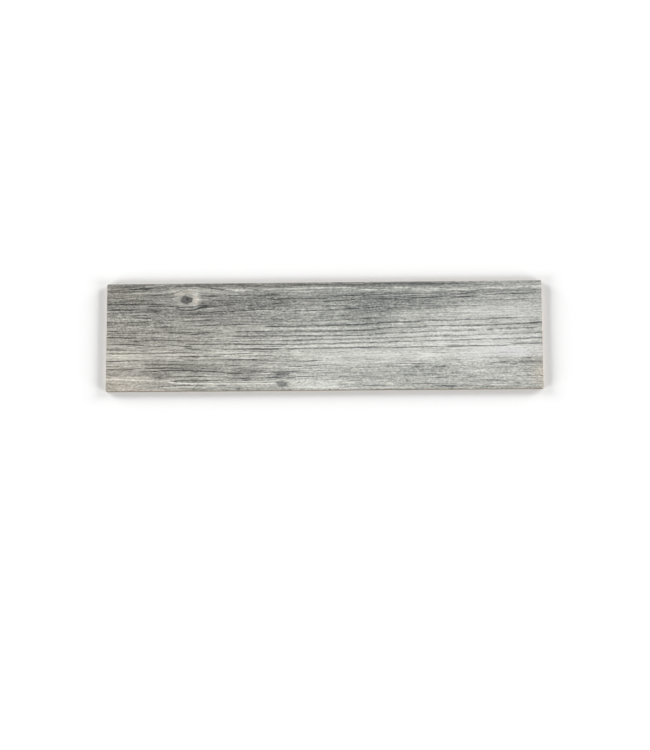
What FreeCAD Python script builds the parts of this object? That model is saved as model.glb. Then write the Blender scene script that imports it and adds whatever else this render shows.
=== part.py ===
# Wood-look porcelain plank tile, one dry-pressed and fired piece, in millimetres.
# Frame: +X along the plank, +Y across it, +Z up through the printed face. The origin is the centre of the
# back, on the crossing of its two middle key ribs, so the plank lies on z = 0 as it does on its bed.
import FreeCAD, Part
import os
import Sketcher

# Driving dimensions: alias, value, meaning
DIMENSIONS = (
    ("plank_length", 600.0, "overall length of the plank"),
    ("plank_width", 150.0, "overall width of the plank"),
    ("plank_thickness", 9.0, "overall thickness, from the rib crests to the printed face"),
    ("edge_radius", 1.2, "rounding of the face's edges and of the four upright corners"),
    ("foot_chamfer", 0.6, "bevel where the sides meet the back"),
    ("key_pitch", 24.0, "spacing of the key cells in the back, along and across"),
    ("key_rib", 4.0, "width of the rib left between two key cells, at its crest"),
    ("key_depth", 0.8, "depth of a key cell below the rib crests"),
    ("key_draft", 35.0, "slope of a key cell's walls from the pressing direction, in degrees"),
    ("key_land", 4.0, "least plain margin between the key cells and the plank's sides"),
)

# Key cells between a middle rib and the plain margin: as many as fit there
HALF_COUNT = "floor((dims.{size} / 2 - dims.key_land + dims.key_rib / 2) / dims.key_pitch)"
HALF_ALONG = HALF_COUNT.format(size="plank_length")
HALF_ACROSS = HALF_COUNT.format(size="plank_width")
CELL_SIDE = "dims.key_pitch - dims.key_rib"

DRAWN_SQUARE = ((-1, -1), (1, -1), (1, 1), (-1, 1))  # a rectangle's corners before it is dimensioned
ON_BACK_PLANE = 1e-6  # height under which an edge lies on the back plane
VOLUME_SLACK = 1e-6  # share of the blank's volume that rounding may lose


def make_sheet(doc):
    """The spreadsheet that every feature takes its sizes from."""
    sheet = doc.addObject("Spreadsheet::Sheet", "dims")
    for row, (alias, value, meaning) in enumerate(DIMENSIONS, start=1):
        sheet.set(f"A{row}", meaning)
        sheet.set(f"B{row}", str(value))
        sheet.setAlias(f"B{row}", alias)
    doc.recompute()


def origin_feature(body, role):
    """One of the body's own planes or axes, by its role."""
    return next(feature for feature in body.Origin.OriginFeatures if feature.Role == role)


def bind(sketch, axis, start, end, label, expression):
    """Dimensions the way between two points of a sketch along an axis and ties it to the spreadsheet."""
    as_drawn = sketch.getPoint(*start).distanceToPoint(sketch.getPoint(*end))
    index = sketch.addConstraint(Sketcher.Constraint("Distance" + axis, *start, *end, as_drawn))
    sketch.renameConstraint(index, label)
    sketch.setExpression(f"Constraints.{label}", expression)


def back_plane_rectangle(body, name, size_x, size_y):
    """A rectangle sketched on the back plane, its sizes tied to expressions, and the list of its sides."""
    sketch = body.newObject("Sketcher::SketchObject", name)
    sketch.AttachmentSupport = [(origin_feature(body, "XY_Plane"), "")]
    sketch.MapMode = "FlatFace"
    corners = [FreeCAD.Vector(x, y, 0) for x, y in DRAWN_SQUARE]
    sides = [
        sketch.addGeometry(Part.LineSegment(start, end))
        for start, end in zip(corners, corners[1:] + corners[:1])
    ]
    for side, following in zip(sides, sides[1:] + sides[:1]):
        sketch.addConstraint(Sketcher.Constraint("Coincident", side, 2, following, 1))
    for direction, side in zip(("Horizontal", "Vertical") * 2, sides):
        sketch.addConstraint(Sketcher.Constraint(direction, side))
    bind(sketch, "X", (sides[0], 1), (sides[0], 2), "size_x", size_x)
    bind(sketch, "Y", (sides[1], 1), (sides[1], 2), "size_y", size_y)
    return sketch, sides


def edge_names(feature, wanted):
    """Names of a feature's edges whose bounding box passes the test."""
    edges = enumerate(feature.Shape.Edges, start=1)
    return [f"Edge{number}" for number, edge in edges if wanted(edge.BoundBox)]


def press_blank(doc, body):
    """The blank as it leaves the die: upright sides, rounded face edges and corners, a bevelled foot."""
    outline, sides = back_plane_rectangle(body, "outline", "dims.plank_length", "dims.plank_width")
    outline.addConstraint(Sketcher.Constraint("Symmetric", sides[0], 1, sides[2], 1, -1, 1))
    blank = body.newObject("PartDesign::Pad", "blank")
    blank.Profile = outline
    blank.setExpression("Length", "dims.plank_thickness")
    doc.recompute()

    rounding = body.newObject("PartDesign::Fillet", "face_edges_and_corners")
    rounding.Base = (blank, edge_names(blank, lambda box: box.ZMax > ON_BACK_PLANE))
    rounding.setExpression("Radius", "dims.edge_radius")
    doc.recompute()

    foot = body.newObject("PartDesign::Chamfer", "foot")
    foot.Base = (rounding, edge_names(rounding, lambda box: box.ZMax < ON_BACK_PLANE))
    foot.setExpression("Size", "dims.foot_chamfer")
    doc.recompute()
    return foot


def press_key_cells(doc, body, blank):
    """The waffle of shallow cells that the bedding mortar keys into, with a rib on each centre line."""
    outline, sides = back_plane_rectangle(body, "key_cell_outline", CELL_SIDE, CELL_SIDE)
    middle = outline.addGeometry(Part.Point(outline.getPoint(sides[0], 1)), True)
    outline.addConstraint(Sketcher.Constraint("Symmetric", sides[0], 1, sides[2], 1, middle, 1))
    bind(outline, "X", (middle, 1), (-1, 1), "first_cell_x", f"({HALF_ALONG} - 0.5) * dims.key_pitch")
    bind(outline, "Y", (middle, 1), (-1, 1), "first_cell_y", f"({HALF_ACROSS} - 0.5) * dims.key_pitch")

    cell = body.newObject("PartDesign::Pocket", "key_cell")
    cell.Profile = outline
    cell.Reversed = True
    cell.setExpression("Length", "dims.key_depth")
    cell.setExpression("TaperAngle", "-dims.key_draft")
    doc.recompute()
    if cell.Shape.Volume >= blank.Shape.Volume:
        raise RuntimeError("the first key cell cuts nothing out of the back")

    waffle = body.newObject("PartDesign::LinearPattern", "key_cells")
    waffle.Originals = [cell]
    waffle.Direction = (origin_feature(body, "X_Axis"), [""])
    waffle.Mode = "Spacing"
    waffle.setExpression("Offset", "dims.key_pitch")
    waffle.setExpression("Occurrences", f"2 * {HALF_ALONG}")
    waffle.Direction2 = (origin_feature(body, "Y_Axis"), [""])
    waffle.Mode2 = "Spacing"
    waffle.Spacings2 = [-1.0]  # every row keeps the spacing in Offset2
    waffle.setExpression("Offset2", "dims.key_pitch")
    waffle.setExpression("Occurrences2", f"2 * {HALF_ACROSS}")
    body.Tip = waffle
    doc.recompute()
    cells = waffle.Occurrences * waffle.Occurrences2
    cut_by_one = blank.Shape.Volume - cell.Shape.Volume
    cut_by_all = blank.Shape.Volume - waffle.Shape.Volume
    print("key cells:", cells, "cut volume:", cut_by_all)
    if abs(cut_by_all - cells * cut_by_one) > VOLUME_SLACK * blank.Shape.Volume:
        raise RuntimeError("the key cells overlap or some are missing")


def check(doc, body):
    """Stops before anything is written if a feature failed or the solid isn't sound."""
    failed = [o.Name for o in doc.Objects if {"Invalid", "Error"} & set(o.State)]
    if failed:
        raise RuntimeError(f"these features failed: {failed}")
    shape = body.Shape
    if shape.isNull() or not shape.isValid() or len(shape.Solids) != 1:
        raise RuntimeError(f"{body.Label} is not one valid solid")


def main():
    doc = FreeCAD.newDocument("plank_tile")
    make_sheet(doc)
    body = doc.addObject("PartDesign::Body", "plank_tile")
    body.Label = "plank_tile"
    press_key_cells(doc, body, press_blank(doc, body))
    check(doc, body)
    os.makedirs("parts", exist_ok=True)
    body.Shape.exportStep(f"parts/{body.Label}.step")
    print(body.Label, "volume:", body.Shape.Volume, "box:", body.Shape.BoundBox)


main()
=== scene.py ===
import math

import bmesh
import bpy
import numpy as np
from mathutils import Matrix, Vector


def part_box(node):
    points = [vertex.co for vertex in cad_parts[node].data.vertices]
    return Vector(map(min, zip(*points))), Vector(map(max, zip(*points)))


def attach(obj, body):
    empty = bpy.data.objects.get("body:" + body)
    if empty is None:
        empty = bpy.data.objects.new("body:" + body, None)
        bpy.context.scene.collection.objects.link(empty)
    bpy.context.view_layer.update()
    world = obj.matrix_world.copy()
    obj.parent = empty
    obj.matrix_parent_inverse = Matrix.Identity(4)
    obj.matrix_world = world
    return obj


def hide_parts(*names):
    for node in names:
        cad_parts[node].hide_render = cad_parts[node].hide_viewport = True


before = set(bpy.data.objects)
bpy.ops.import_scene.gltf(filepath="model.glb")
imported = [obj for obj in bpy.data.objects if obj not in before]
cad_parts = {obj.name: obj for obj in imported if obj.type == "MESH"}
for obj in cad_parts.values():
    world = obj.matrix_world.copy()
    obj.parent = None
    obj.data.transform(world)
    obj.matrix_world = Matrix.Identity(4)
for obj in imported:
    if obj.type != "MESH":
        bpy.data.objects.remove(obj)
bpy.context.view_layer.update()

# Sizes in metres. The plank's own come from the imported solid, and the pressed details repeat the solid's.
MM = 0.001
PLANK_LOW, PLANK_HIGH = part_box("plank_tile")
PLANK_SIZE = PLANK_HIGH - PLANK_LOW
EDGE_RADIUS = 1.2 * MM
EDGE_STEPS = 3
FOOT_BEVEL = 0.6 * MM
KEY_PITCH = 24 * MM
KEY_RIB = 4 * MM
KEY_DEPTH = 0.8 * MM
KEY_DRAFT = math.radians(35)
KEYS_ALONG = 24
KEYS_ACROSS = 6
TOUCH = 0.01 * MM  # nearer than this counts as touching
FACING_DOWN = -0.9  # below this, the upward part of a normal is that of a face of the back

# The printed face is divided finely enough for its embossed grain. The body's edges are divided to match,
# in two goes along and two across.
FACE_LENGTH = PLANK_SIZE.x - 2 * EDGE_RADIUS
FACE_WIDTH = PLANK_SIZE.y - 2 * EDGE_RADIUS
PARTS_ALONG = (20, 15)
PARTS_ACROSS = (20, 15)
COLUMNS = math.prod(PARTS_ALONG)
ROWS = math.prod(PARTS_ACROSS)
EMBOSS_DEPTH = 0.5 * MM
EMBOSS_GROUND = 0.25  # share of that depth at which the plain wood between the lines lies
EMBOSS_BORDER = 1.5  # millimetres from the face's border over which the embossing begins
GLAZED_SLOPE = 0.3  # above this, the upward part of a normal is that of a glazed face
SMOOTH_ANGLE = math.radians(40)

# The print. Places are millimetres on the face from its middle, along and across; levels are steps of 255.
WHITE = 255
BASE_LEVEL = 179
KNOTS = (
    # along, across, reach along, reach across, how far the grain gives way, how far the fibres do
    (-189, 51.5, 22, 14, 0.75, 0.8),
    (-56, -66, 15, 8, 0.6, 0.3),
)
SHADES = (
    # level, along, across, reach along, reach across
    (-45, -60, 71.5, 250, 3.2),
    (-40, 150, 70.5, 170, 3.4),
    (-36, 92, 53, 48, 12),
    (-30, -85, 50, 50, 14),
    (-24, 22, 56, 50, 9),
    (-26, -265, 50, 60, 14),
    (-20, -215, 28, 70, 12),
    (-14, -275, 8, 50, 12),
    (-10, -140, 8, 60, 12),
    (-40, 230, 58.5, 75, 4.0),
    (-20, 150, 50, 50, 9),
    (24, 250, 33, 75, 8),
    (34, 265, -22, 70, 10),
    (26, 130, -28, 70, 8),
    (18, 0, -27, 60, 9),
    (18, -275, -27, 45, 6),
    (18, 140, -3, 190, 17),
    (-34, -185, -43, 50, 8),
    (-34, -112, -48, 26, 6),
    (-26, -58, -52, 14, 4),
    (-10, 40, -48, 25, 6),
    (-10, 150, -42, 40, 8),
    (-16, 270, -40, 36, 7),
    (18, -20, -67, 36, 8),
    (14, 90, -66, 70, 8),
    (14, -280, -66, 40, 9),
    (24, 230, 5, 110, 38),
    (14, 20, -25, 130, 30),
    (16, 230, -50, 110, 18),
    (-16, -275, 62, 60, 12),
    (-12, -150, 30, 80, 14),
    (-12, 70, 36, 40, 6),
    (-12, -170, 45, 170, 26),
    (-8, -240, 2, 70, 20),
    (-10, 50, 30, 60, 12),
    (26, 0, -67, 60, 8),
    (8, 80, 66, 230, 8),
    (-8, -275, 68, 50, 8),
    (-10, 55, 22, 60, 24),
    (46, -202, 60, 7, 4.5),
    (62, -177.5, 53.5, 5.5, 8),
    (26, -185, 65, 14, 2.6),
    (16, -189, 60.5, 9, 2.4),
    (-26, -167.5, 48, 5.5, 4.5),
    (30, -197, 46.5, 7, 3.2),
    (26, -184, 44.8, 9, 2.4),
    (-52, -156, 46.2, 2.2, 1.4),
    (-56, -46.5, -21.4, 2.4, 1.3),
    (12, -92, 40.5, 14, 3),
    (10, 255, 60, 40, 5),
    (-8, 250, -50, 36, 9),
    (-6, 150, -45, 36, 8),
    (-9, -100, 70, 45, 4),
    (-7, -240, 67, 45, 7),
    (-8, -125, 66, 30, 6),
    (-7, 70, 66, 25, 6),
    (8, 225, 68, 25, 6),
    (-9, -20, 52, 60, 8),
    (-8, -125, 37, 40, 9),
    (-11, 110, 37, 70, 7),
    (-10, -110, 22, 50, 8),
    (9, -175, 22, 25, 8),
    (6, 90, 23, 40, 7),
    (-13, 50, 7, 45, 8),
    (-7, -225, -7, 50, 7),
    (-7, -225, -38, 30, 8),
    (-7, -75, -38, 40, 7),
    (8, 20, -44, 28, 12),
    (-7, 110, -46, 50, 12),
    (-8, -225, -52, 25, 7),
    (6, -130, -52, 22, 6),
    (-14, -235, -68, 40, 7),
    (12, 295, -60, 10, 12),
    (-8, -275, -26, 24, 4),
    (5, 125, 52, 25, 7),
    (8, 125, 22, 25, 7),
    (-8, -225, 68, 25, 6),
    (-9, 278, 52, 25, 7),
    (8, -100, -22, 48, 6),
    (7, -140, -37, 40, 6),
    (-8, -125, -7, 25, 7),
    (-7, 175, 37, 25, 7),
    (-6, 175, -8, 25, 6),
    (-6, -255, -70, 45, 5),
    (6, -25, 38, 28, 7),
    (6, -25, 8, 25, 6),
    (6, -125, -53, 22, 6),
    (5, -25, -53, 25, 6),
    (6, -180, 22, 30, 7),
    (-5, 145, -68, 60, 6),
)
RINGS = (
    # level, half thickness, path
    (-50, 0.9, ((-80, 13.8), (-50, 12.9), (-18, 13.3), (8, 13.8), (45, 14.5), (80, 17.2), (136, 18.5))),
    (-42, 0.8, ((143, 19.6), (170, 19.8), (200, 20.7), (222, 21), (240, 22.5), (262, 22.8))),
    (-48, 0.9, ((-120, 6.2), (-50, 6.5), (0, 6.5), (30, 6.7), (60, 7.6), (82, 9.4))),
    (-36, 1.0, ((86, 10), (120, 10.6), (141, 10.9))),
    (-50, 0.9, ((138, 12.8), (190, 12.6), (215, 12.9), (232, 13.4), (262, 14.2), (285, 15.6), (308, 17.2))),
    (-36, 0.9, ((278, 16.2), (308, 17.4))),
    (-34, 0.8, ((221, 16.2), (243, 17))),
    (-44, 0.8, ((-125, -0.4), (-76, -0.4))),
    (-50, 0.8, ((-73, 0), (0, 0), (30, 0.2), (66, 1.2))),
    (-38, 0.8, ((70, 2.2), (95, 2.6), (129, 2.9))),
    (-36, 0.8, ((129, 4.2), (150, 5), (180, 5.8), (212, 6.2))),
    (-56, 1.0, ((224, 6.8), (233, 7.0))),
    (-40, 0.8, ((238, 8.1), (262, 8.4), (292, 9.3))),
    (-42, 0.8, ((-80, -6.2), (-40, -6), (0, -5), (30, -4.5), (66, -4.3))),
    (-44, 0.8, ((70, -4), (85, -3.5), (126, -3.2))),
    (-46, 0.8, ((128, -2.4), (150, -1.8), (175, -1.2), (220, 0), (250, 0.4), (275, 1.2), (308, 2.1))),
    (-46, 0.8, ((-128, -11), (-50, -11.2), (0, -10.6), (45, -10.2), (80, -10), (105, -9), (132, -8.6))),
    (-44, 0.8, ((134, -8.4), (150, -8), (180, -7.4), (210, -6.5), (250, -6.2), (280, -5.8), (308, -4.6))),
    (-50, 0.9, ((-100, -17.3), (-60, -17.2))),
    (-46, 0.8, ((-50, -17.6), (0, -16.9), (30, -17.2), (80, -17), (106, -17.3), (120, -16.8))),
    (-46, 0.8, ((121, -16.7), (150, -16.2), (174, -16), (200, -15.2), (222, -15), (252, -15.2))),
    (-52, 0.9, ((258, -13.2), (282, -13), (308, -12.8))),
)
DARK_LINES = (
    # level, half thickness, path
    (-62, 1.0, ((-265, 67.4), (-252, 67.7), (-239, 67.8))),
    (-24, 0.8, ((-308, 65), (-262, 66.8))),
    (-20, 1.0, ((-308, 55.4), (-276, 55))),
    (-13, 1.0, ((-282, 51.4), (-255, 51.8), (-226, 51.2))),
    (-66, 0.85, ((-308, 46.6), (-278, 46.4), (-260, 45.8))),
    (-28, 0.6, ((-264, 45.6), (-240, 45), (-222, 45.4))),
    (-60, 0.85, ((-244, 43), (-222, 43.4), (-210, 43.1), (-203, 42.3), (-197, 41.2), (-190, 40.8))),
    (-46, 0.9, ((-204, 40.4), (-200, 38.8), (-195.5, 37.2), (-188, 36.8), (-180.5, 37.7), (-174.5, 39),
                (-167, 41.2))),
    (-44, 0.8, ((-308, 38.6), (-280, 38.5), (-258, 38))),
    (-22, 0.6, ((-258, 38), (-232, 37.2), (-212, 38.2))),
    (-22, 0.8, ((-308, 34.2), (-272, 34.6), (-240, 34.9))),
    (-24, 0.7, ((-270, 30.4), (-240, 30.6))),
    (-30, 0.7, ((-260, 26.6), (-238, 26.4))),
    (-30, 0.8, ((-308, 21.6), (-262, 21.1), (-222, 21.1))),
    (-40, 0.8, ((-200, 21), (-180, 21.8), (-166, 22.6), (-152, 23.4))),
    (-40, 0.8, ((-308, 18), (-291, 17.8))),
    (-26, 0.6, ((-280, 17), (-240, 16.8))),
    (-34, 0.7, ((-237, 13.8), (-218, 14), (-205, 13.8))),
    (-40, 0.8, ((-308, 8.9), (-284, 8.7))),
    (-30, 0.7, ((-290, 5.6), (-272, 6), (-256, 5.6))),
    (-26, 0.7, ((-242, 5.2), (-226, 5.6))),
    (-40, 0.8, ((-216, 5.6), (-198, 5.2), (-188, 4.2), (-180, 3.6), (-172, 4.6), (-160, 6), (-146, 6.4))),
    (-38, 0.7, ((-176, 14.4), (-164, 15.4), (-148, 16.2), (-126, 15.6))),
    (-42, 0.7, ((-130, 16.6), (-116, 16.8), (-104, 17))),
    (-34, 0.7, ((-200, 32), (-192, 31.2), (-180, 31.8), (-168, 33))),
    (-26, 0.7, ((-196, 26.6), (-180, 26), (-165, 26.6), (-150, 27.8))),
    (-60, 1.7, ((-174, 40.4), (-167, 41.6), (-160, 42.4))),
    (-34, 0.8, ((-172, 43.6), (-162, 44))),
    (-34, 0.9, ((-187, 40.4), (-179, 41.8), (-173, 44.4), (-168, 47))),
    (-30, 0.8, ((-172, 57.8), (-163, 57), (-150, 56.8))),
    (-40, 0.7, ((-162, 42), (-150, 42.2), (-140, 43.5), (-124, 44.1))),
    (-34, 0.8, ((-236, 58.4), (-218, 59.2), (-208, 60.8), (-201, 63.2), (-194, 66.4))),
    (-26, 0.8, ((-226, 65.6), (-208, 68), (-198, 71.6))),
    (-34, 0.8, ((-172, 69.6), (-156, 68), (-146, 66.6), (-132, 65))),
    (-22, 0.6, ((-205, 46), (-196, 43.6), (-186, 42.6), (-178, 44))),
    (-44, 0.9, ((-166, 57.6), (-150, 56.8), (-135, 56.8), (-120, 57.4), (-100, 57.6), (-82, 57),
                (-64, 57.6))),
    (-12, 0.8, ((-152, 50.6), (-138, 50.8))),
    (-26, 1.1, ((-79, 59), (-66, 58.8))),
    (-20, 1.2, ((-80, 52.8), (-70, 52.8))),
    (-44, 0.7, ((-76, 45), (-60, 45.6), (-42, 45.9))),
    (-40, 0.7, ((-163, 33.6), (-150, 34.6), (-140, 35.6), (-130, 36))),
    (-48, 0.7, ((-128, 35.3), (-119, 36.4), (-105, 36.8), (-90, 37.6), (-75, 37.4), (-58, 36.8))),
    (-52, 0.9, ((-57, 34.9), (-53, 34.8))),
    (-30, 0.7, ((-140, 23.8), (-128, 23.8))),
    (-22, 1.2, ((-70, 23.2), (-50, 23.4), (-38, 24.2))),
    (-42, 0.9, ((-308, -0.6), (-280, -0.8), (-257, -1.2))),
    (-40, 0.8, ((-268, -5.6), (-255, -5.2), (-240, -4.2), (-225, -4.4), (-205, -4.8), (-190, -5.6),
                (-180, -6))),
    (-42, 0.9, ((-308, -9), (-270, -9.6), (-255, -11.2), (-242, -12.8), (-216, -12.7))),
    (-52, 0.8, ((-213, -10.8), (-203, -12), (-194, -13))),
    (-54, 0.8, ((-193, -13.4), (-182, -13.8))),
    (-54, 0.8, ((-191, -16), (-182, -16.3))),
    (-38, 0.9, ((-308, -16.8), (-280, -17.4), (-262, -18.8), (-250, -19.4), (-240, -18.2), (-228, -17.2))),
    (-34, 1.2, ((-182, -17.6), (-168, -18.6), (-156, -19.2))),
    (-30, 0.9, ((-184, -10.2), (-160, -10.6), (-126, -11))),
    (-32, 0.8, ((-180, -1.4), (-166, -1.5), (-150, -0.8))),
    (-32, 0.7, ((-308, -22.2), (-262, -22.4), (-235, -22.8), (-205, -22.6), (-190, -21.4))),
    (-36, 0.7, ((-234, -27), (-200, -26.9))),
    (-50, 0.7, ((-198, -27.2), (-172, -27.3))),
    (-48, 0.6, ((-166, -27.2), (-138, -27))),
    (-56, 0.9, ((-308, -33.2), (-278, -33))),
    (-40, 0.7, ((-278, -32.8), (-255, -32.2), (-238, -31.6))),
    (-26, 0.7, ((-238, -31.8), (-215, -33.2), (-190, -34.6))),
    (-34, 0.8, ((-190, -32.4), (-176, -32.8), (-160, -32.4))),
    (-36, 1.0, ((-246, -37.6), (-220, -38), (-178, -38.2))),
    (-34, 0.8, ((-308, -40.6), (-279, -40.4))),
    (-40, 0.8, ((-308, -44.8), (-282, -44.4), (-262, -44.4), (-250, -43.2), (-236, -43.4), (-220, -44.4))),
    (-44, 1.0, ((-252, -48.4), (-235, -48), (-215, -46.8), (-195, -46.8), (-175, -47.8), (-150, -48.7))),
    (-38, 1.1, ((-153, -48.8), (-136, -50), (-124, -51), (-112, -51.6))),
    (-30, 0.8, ((-308, -51.4), (-285, -52.2))),
    (-22, 0.8, ((-272, -52.6), (-250, -53.4))),
    (-38, 0.9, ((-236, -56.4), (-215, -55.8), (-200, -55), (-180, -55), (-164, -55.4))),
    (-30, 0.9, ((-230, -57.8), (-214, -58))),
    (-50, 1.0, ((-208, -61.4), (-185, -60.8), (-165, -60.8), (-142, -61))),
    (-24, 0.7, ((-192, -63.2), (-164, -63))),
    (-34, 0.8, ((-201, -67.4), (-182, -67.8), (-164, -67.6))),
    (-42, 0.8, ((-148, -68), (-134, -68.3))),
    (-34, 0.7, ((-308, -70.8), (-284, -71.4))),
    (-30, 0.8, ((-122, -72.2), (-111, -72.2))),
    (-36, 0.8, ((-102, -6), (-78, -6))),
    (-28, 0.8, ((-142, -18.6), (-120, -18.2), (-98, -17.4))),
    (-30, 0.7, ((-100, -21), (-68, -21))),
    (-42, 0.6, ((-148, -25.3), (-130, -24.8), (-116, -23.9), (-97, -23.6))),
    (-46, 0.6, ((-108, -26.4), (-90, -26.7), (-70, -26.6))),
    (-30, 0.6, ((-144, -31.4), (-126, -31.8))),
    (-52, 0.6, ((-128, -31.9), (-95, -32))),
    (-46, 0.7, ((-96, -32.4), (-80, -33.8), (-64, -34.8), (-50, -35.4), (-40, -34.6), (-26, -35.2),
                (-14, -34), (0, -33.6))),
    (-36, 0.7, ((-132, -40), (-115, -40))),
    (-36, 0.7, ((-100, -40.2), (-88, -40.2))),
    (-46, 0.8, ((-48, -42.1), (-30, -42.2))),
    (-38, 0.7, ((-25, -41.2), (-8, -41.2))),
    (-34, 0.8, ((-9, -47.8), (-2, -48.2))),
    (-40, 1.0, ((-98, -48.8), (-83, -48.8))),
    (-40, 0.9, ((-84, -50.4), (-58, -50), (-31, -49.2))),
    (-34, 1.6, ((-64, -53.4), (-48, -53.8))),
    (-46, 0.8, ((-130, -58), (-118, -58.6), (-107, -58.2), (-96, -57))),
    (-46, 0.9, ((-109, -60.6), (-100, -60.4))),
    (-42, 0.8, ((-90, -57.4), (-74, -57.6), (-58, -57.2))),
    (-44, 0.7, ((-38, -56), (-14, -56.3))),
    (-36, 0.7, ((-49, -57.8), (-38, -57.4))),
    (-48, 1.0, ((-34.5, -64.2), (-32, -64.4))),
    (-40, 0.7, ((-66, 51.6), (-50, 52.4), (-34, 52.7), (-14, 52.2), (2, 51.8))),
    (-52, 0.8, ((0, 47.8), (12, 48.6), (22, 49.2), (42, 49.8))),
    (-34, 0.8, ((12, 54.6), (28, 55.8), (46, 56.6))),
    (-24, 1.0, ((50, 59), (70, 59.4))),
    (-28, 0.8, ((77, 51.6), (96, 51.4))),
    (-36, 0.6, ((96, 49), (110, 49.2), (119, 49.4))),
    (-42, 0.6, ((114, 50.9), (132, 51.7), (150, 52.6), (166, 53.4))),
    (-36, 0.7, ((-44, 35.6), (-26, 35.6), (-10, 35.4), (0, 36.6))),
    (-42, 0.8, ((6, 36.6), (30, 36.8))),
    (-56, 0.8, ((31, 37.5), (50, 37.8))),
    (-34, 0.8, ((55, 38.6), (73, 38.8))),
    (-28, 0.7, ((-2, 41.8), (12, 41.6), (36, 41.9))),
    (-32, 0.8, ((94, 42.6), (113, 42.9))),
    (-34, 0.8, ((-6, 30), (3, 30.2))),
    (-22, 0.8, ((-40, 21), (-10, 20.8), (12, 21.2))),
    (-36, 0.8, ((30, 22.5), (41, 22.7))),
    (-36, 0.6, ((51, 23.4), (64, 23.7), (79, 23.6))),
    (-34, 0.8, ((160, 66), (175, 66.2))),
    (-60, 0.7, ((178, 52.6), (192, 53), (204, 54), (216, 54.6))),
    (-34, 1.0, ((189, 58), (207, 58.6))),
    (-24, 1.1, ((186, 60.4), (214, 60.8))),
    (-15, 1.2, ((238, 61.2), (260, 61.8), (280, 60.8), (308, 61.6))),
    (-34, 0.8, ((221, 55.2), (241, 55.6))),
    (-30, 0.8, ((242, 56.4), (256, 56.2))),
    (-42, 1.0, ((258, 56.6), (269, 56.7))),
    (-24, 0.8, ((268, 56.2), (280, 56))),
    (-13, 0.8, ((216, 48), (262, 48.8), (296, 49.4))),
    (-30, 0.9, ((227, 48.7), (246, 48.9))),
    (-40, 0.9, ((181, 40.4), (186, 40.4))),
    (-26, 0.9, ((204, 40.2), (211, 40))),
    (-28, 0.9, ((178, 45.6), (182, 45.6))),
    (-28, 0.9, ((284, 45.4), (289, 45.2))),
    (-20, 0.7, ((140, -24.4), (166, -24.8))),
    (-20, 1.0, ((58, -32.8), (75, -33))),
    (-34, 0.8, ((179, -34.5), (188, -34.7))),
    (-26, 0.9, ((120, -40.2), (145, -39.6))),
    (-30, 0.9, ((169, -40.2), (177, -40))),
    (-28, 1.2, ((122, -44.6), (131, -44.2))),
    (-38, 0.9, ((150, -45), (158, -44), (168, -43.4))),
    (-28, 0.8, ((131, -48.8), (138, -48.8))),
    (-28, 0.8, ((222, -41.8), (233, -41.2))),
    (-28, 1.0, ((242, -37.4), (254, -37.6))),
    (-36, 1.2, ((256, -41.2), (265, -41))),
    (-30, 0.9, ((268, -37.4), (282, -37.2), (308, -36.6))),
    (-28, 0.9, ((276, -31.8), (284, -32.6))),
    (-34, 0.8, ((274, -48.6), (291, -48.6))),
    (-32, 0.8, ((174, -53.2), (187, -53.2))),
    (-30, 0.8, ((150, -59.6), (160, -58.8), (169, -59))),
    (-28, 0.8, ((177, -57.8), (184, -57.8))),
    (-32, 1.3, ((198, -58.6), (208, -58.2))),
    (-24, 0.8, ((258, -57), (308, -56.8))),
    (-32, 1.0, ((211, -62.4), (240, -62.4))),
    (-28, 1.2, ((243, -64), (251, -64.2))),
    (-34, 1.0, ((260, -66.4), (267, -66.4))),
    (-32, 0.8, ((220, -71.4), (234, -71.6))),
    (-30, 1.0, ((157, -70.6), (180, -71.2))),
    (-30, 1.0, ((32, -62.6), (52, -62.4))),
    (-28, 1.0, ((60, -61), (96, -61.4))),
    (-34, 1.0, ((112, -62), (117, -62))),
    (-26, 1.0, ((20, -68), (52, -68.2))),
    (-26, 1.0, ((58, -69.8), (84, -69.8))),
)
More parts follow.
